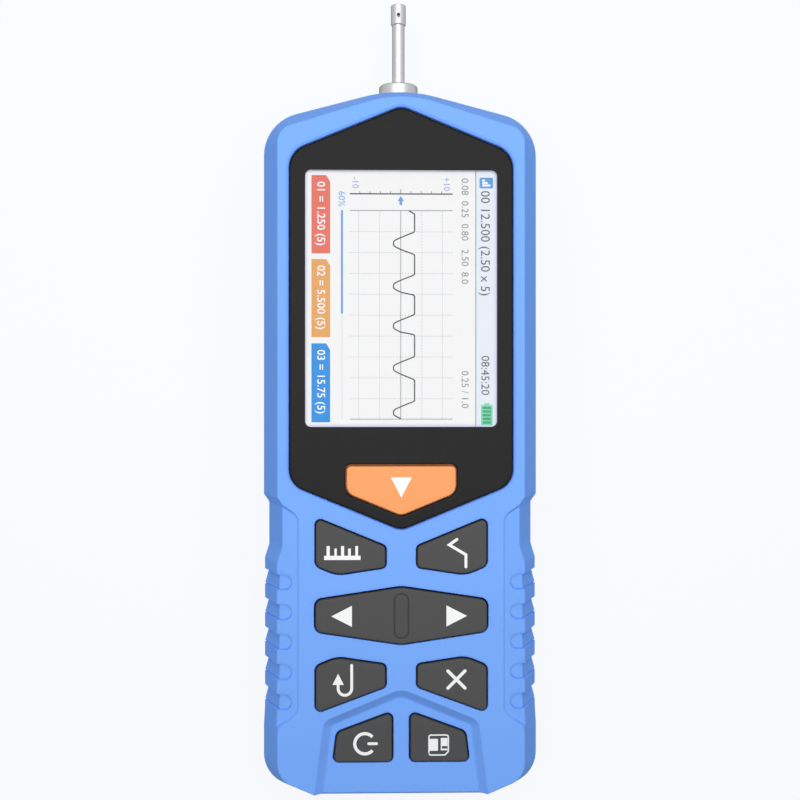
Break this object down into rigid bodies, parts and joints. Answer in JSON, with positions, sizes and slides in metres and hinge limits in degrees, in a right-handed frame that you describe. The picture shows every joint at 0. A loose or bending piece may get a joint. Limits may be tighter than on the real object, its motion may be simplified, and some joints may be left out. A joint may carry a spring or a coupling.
{
  "type": "surface roughness tester",
  "caption": "Hand-held surface roughness tester: colour display and keypad on a tapered two-part case, with a motor-driven stylus pickup at its top end.",
  "frame": {"origin": "centre of the flat base face of the rear case", "axes": "+Y along the pickup, out of the top end; +Z out of the display"},
  "size_m": [0.063, 0.1906, 0.0467],
  "materials": {
    "case_plastic": "fine matt moulding texture",
    "window_black": "dark printed border behind a clear window",
    "display": "lit display face",
    "key_rubber": "matt moulded rubber",
    "start_rubber": "matt moulded rubber",
    "board": "solder mask",
    "dark_plastic": "moulded",
    "steel": "fine turned finish",
    "cast_alloy": "cast and machined",
    "cell_foil": "wrapped cell",
    "carriage_plastic": "moulded",
    "bearing_bronze": "sintered",
    "gold_contact": "plated",
    "coil_copper": "enamelled winding",
    "skid_gem": "polished hard stone",
    "stylus_gem": "polished hard tip"
  },
  "bodies": {
    "case": {"front_case": "case_plastic", "rear_case": "case_plastic", "window_panel": "window_black", "lcd_module": "display", "lcd_tray": "dark_plastic", "main_board": "board", "key_switches": "steel", "keypad_mat": "key_rubber", "charging_socket": "steel", "battery_pack": "cell_foil", "drive_frame": "cast_alloy", "guide_rods": "steel", "screw_bearings": "bearing_bronze", "drive_motor": "steel", "motor_screws": "steel", "limit_switches": "dark_plastic", "case_screws": "steel", "board_screws": "steel", "drive_screws": "steel"},
    "screw": {"lead_screw": "steel", "shaft_coupling": "bearing_bronze", "motor_shaft": "steel"},
    "pickup": {"carriage": "carriage_plastic", "rod_bushes": "bearing_bronze", "drive_nut": "bearing_bronze", "pickup_socket": "dark_plastic", "pickup_body": "steel", "pickup_tube": "steel", "skid_head": "steel", "skid_button": "skid_gem", "pivot_pin": "steel", "sensor_coils": "coil_copper", "pickup_plug": "dark_plastic", "contact_pins": "gold_contact"},
    "stylus": {"stylus_arm": "steel", "stylus_tip": "stylus_gem"},
    "start_key": {"start_key": "start_rubber"},
    "scale_key": {"scale_key": "key_rubber"},
    "parameter_key": {"parameter_key": "key_rubber"},
    "enter_key": {"enter_key": "key_rubber"},
    "escape_key": {"escape_key": "key_rubber"},
    "power_key": {"power_key": "key_rubber"},
    "save_key": {"save_key": "key_rubber"},
    "arrow_rocker": {"arrow_rocker": "key_rubber"}
  },
  "joints": [
    {"name": "lead_screw_turn", "type": "hinge", "parent": "case", "child": "screw", "pos_m": [0, 0.045, 0.025], "axis": [0, 1, 0], "range_deg": [0, 6300]},
    {"name": "pickup_traverse", "type": "slide", "parent": "case", "child": "pickup", "axis": [0, -1, 0], "range_m": [0, 0.0175]},
    {"name": "stylus_pivot", "type": "hinge", "parent": "pickup", "child": "stylus", "pos_m": [0, 0.078, 0.014], "axis": [1, 0, 0], "range_deg": [0, 0.8], "stiffness_Nm_per_rad": 0.0011, "springref_deg": -5.73},
    {"name": "start_key_press", "type": "slide", "parent": "case", "child": "start_key", "axis": [0, 0, -1], "range_m": [0, 0.0008], "stiffness_N_per_m": 1000, "springref_m": -0.001},
    {"name": "scale_key_press", "type": "slide", "parent": "case", "child": "scale_key", "axis": [0, 0, -1], "range_m": [0, 0.0008], "stiffness_N_per_m": 1000, "springref_m": -0.001},
    {"name": "parameter_key_press", "type": "slide", "parent": "case", "child": "parameter_key", "axis": [0, 0, -1], "range_m": [0, 0.0008], "stiffness_N_per_m": 1000, "springref_m": -0.001},
    {"name": "enter_key_press", "type": "slide", "parent": "case", "child": "enter_key", "axis": [0, 0, -1], "range_m": [0, 0.0008], "stiffness_N_per_m": 1000, "springref_m": -0.001},
    {"name": "escape_key_press", "type": "slide", "parent": "case", "child": "escape_key", "axis": [0, 0, -1], "range_m": [0, 0.0008], "stiffness_N_per_m": 1000, "springref_m": -0.001},
    {"name": "power_key_press", "type": "slide", "parent": "case", "child": "power_key", "axis": [0, 0, -1], "range_m": [0, 0.0008], "stiffness_N_per_m": 1000, "springref_m": -0.001},
    {"name": "save_key_press", "type": "slide", "parent": "case", "child": "save_key", "axis": [0, 0, -1], "range_m": [0, 0.0008], "stiffness_N_per_m": 1000, "springref_m": -0.001},
    {"name": "arrow_rocker_tilt", "type": "hinge", "parent": "case", "child": "arrow_rocker", "pos_m": [0, -0.0378, 0.0426], "axis": [0, 1, 0], "range_deg": [-3, 3], "stiffness_Nm_per_rad": 0.4}
  ],
  "couplings": [
    {"joint": "lead_screw_turn", "follows": "pickup_traverse", "rad_per_m": 6283.2}
  ]
}
